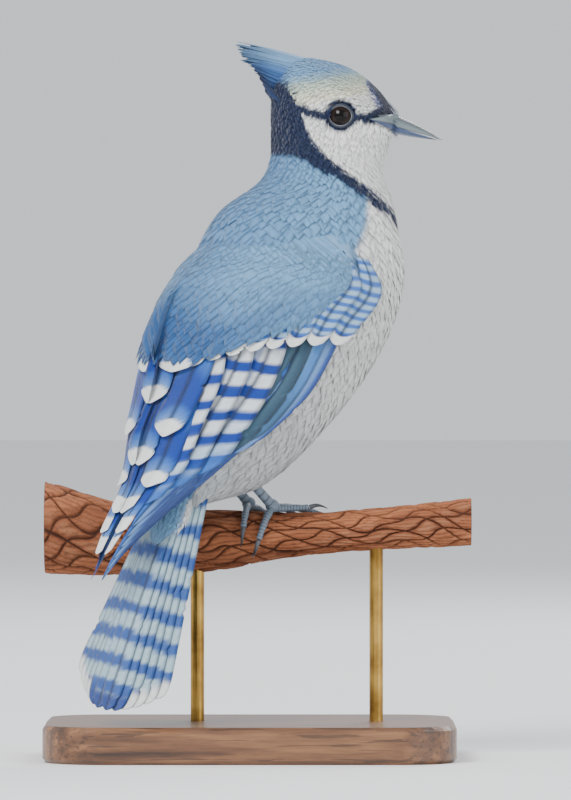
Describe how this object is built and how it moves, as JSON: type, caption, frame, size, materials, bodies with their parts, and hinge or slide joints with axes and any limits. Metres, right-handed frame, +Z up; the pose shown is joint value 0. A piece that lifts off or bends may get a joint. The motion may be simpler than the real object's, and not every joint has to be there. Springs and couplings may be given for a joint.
{
  "type": "blue jay",
  "caption": "Life-size blue jay with a raised crest and long barred tail, gripping a cut length of pine branch that short rods hold over a flat display base.",
  "frame": {"origin": "middle of the underside of the display base", "axes": "+Z up; +X along the branch, the way the bill points; +Y from the viewer's side towards the back, behind the branch"},
  "size_m": [0.162, 0.1185, 0.2719],
  "materials": {
    "plumage": "soft overlapping feathers, blue above and off-white below",
    "bill": "dark slate horn, satin",
    "eye": "wet and glossy, near black",
    "leg": "scaled slate-grey skin",
    "claw": "dark horn, satin",
    "bark": "reddish-brown pine bark in plates, pale cut ends",
    "base": "stained hardwood, satin varnish",
    "rod": "brushed brass"
  },
  "bodies": {
    "root": {"torso": "plumage", "neck": "plumage", "head": "plumage", "tail": "plumage", "right_wing": "plumage", "left_wing": "plumage", "upper_bill": "bill", "lower_bill": "bill", "right_eye": "eye", "left_eye": "eye", "perch_branch": "bark", "stand_base": "base", "stand_rod_1": "rod", "stand_rod_2": "rod", "right_leg": "leg", "right_foot": "leg", "right_hind_claw": "claw", "right_inner_claw": "claw", "right_middle_claw": "claw", "right_outer_claw": "claw", "left_leg": "leg", "left_foot": "leg", "left_hind_claw": "claw", "left_inner_claw": "claw", "left_middle_claw": "claw", "left_outer_claw": "claw"}
  },
  "joints": []
}
